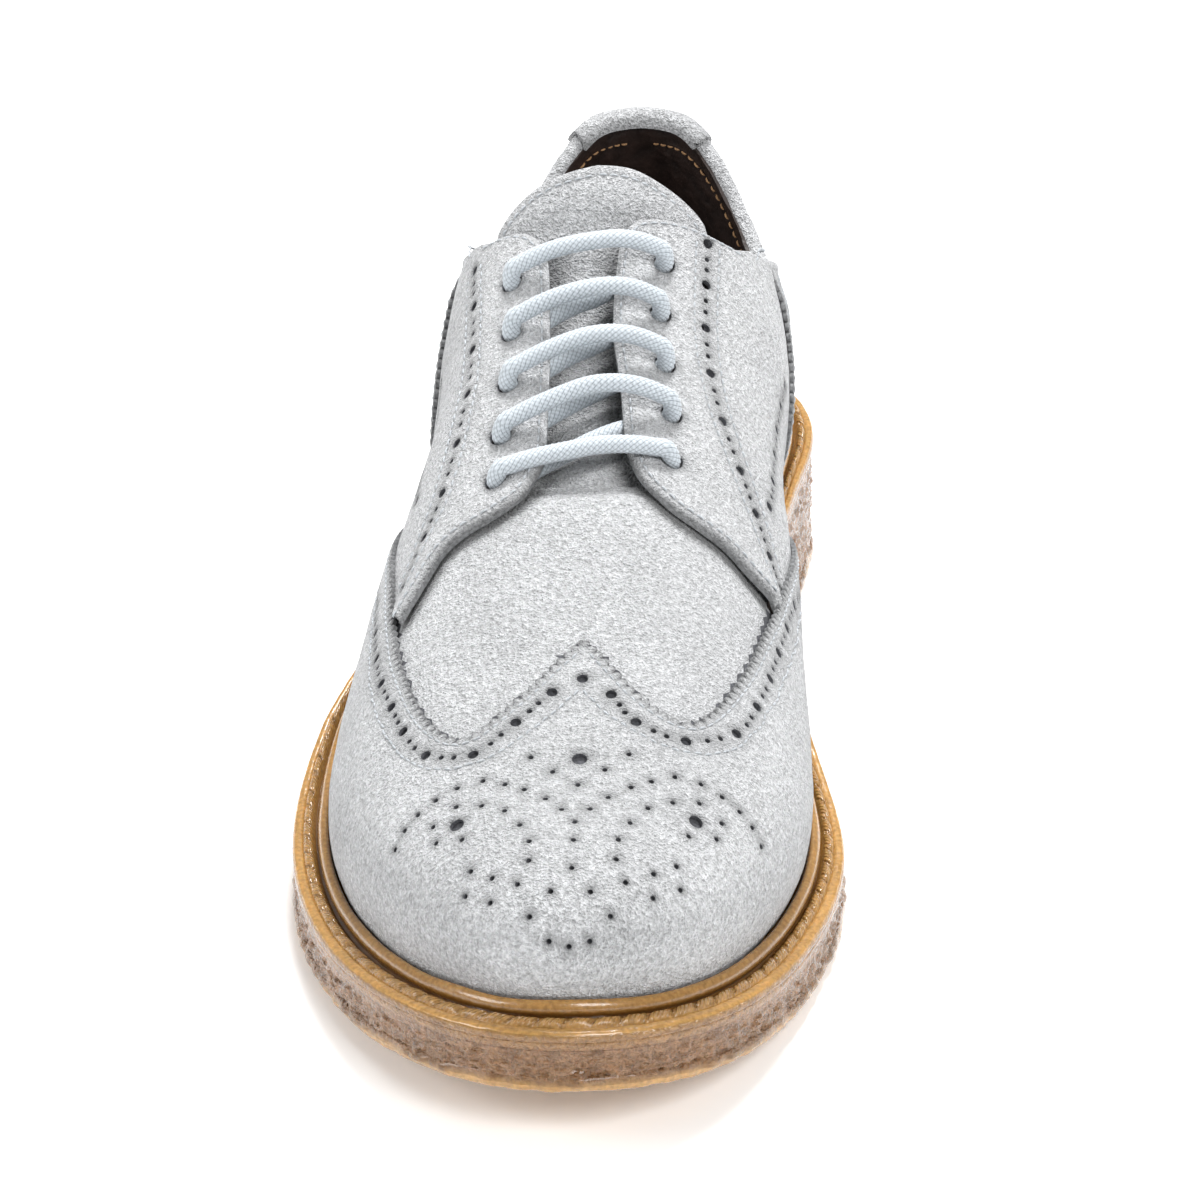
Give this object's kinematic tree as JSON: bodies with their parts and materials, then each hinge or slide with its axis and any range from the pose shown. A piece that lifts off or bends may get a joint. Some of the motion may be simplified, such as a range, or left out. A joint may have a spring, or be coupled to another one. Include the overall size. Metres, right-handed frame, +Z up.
{
  "type": "laced brogue shoe",
  "caption": "Laced wing-cap shoe with open quarters, a heel counter and a tongue on a thick moulded sole with a storm welt; right shoe, standing empty on its heel and forefoot.",
  "frame": {"origin": "On the floor, under the middle of the shoe's bounding box: the heel and the forefoot stand on z = 0.", "axes": "+Y points from the toe to the heel, so the toe points along -Y; +X is the medial (inner) side and -X the lateral (outer) side; +Z is up."},
  "size_m": [0.1172, 0.3, 0.1144],
  "materials": {
    "suede": "light grey suede with a short soft nap, matt",
    "raw_edge": "darker grey raw-cut suede, frayed at its edges",
    "lining": "dark brown smooth lining leather, slightly worn",
    "gum": "caramel moulded gum rubber, satin",
    "sidewall": "pinkish brown crepe-textured gum rubber, slightly glossy",
    "lace": "bluish white round braided cotton"
  },
  "bodies": {
    "root": {"outsole": "gum", "midsole": "sidewall", "welt": "gum", "insole": "lining", "upper": "suede", "wing_cap": "suede", "quarter_lateral": "suede", "quarter_medial": "suede", "heel_counter": "suede", "heel_tab": "raw_edge", "tongue": "suede", "laces": "lace"}
  },
  "joints": []
}
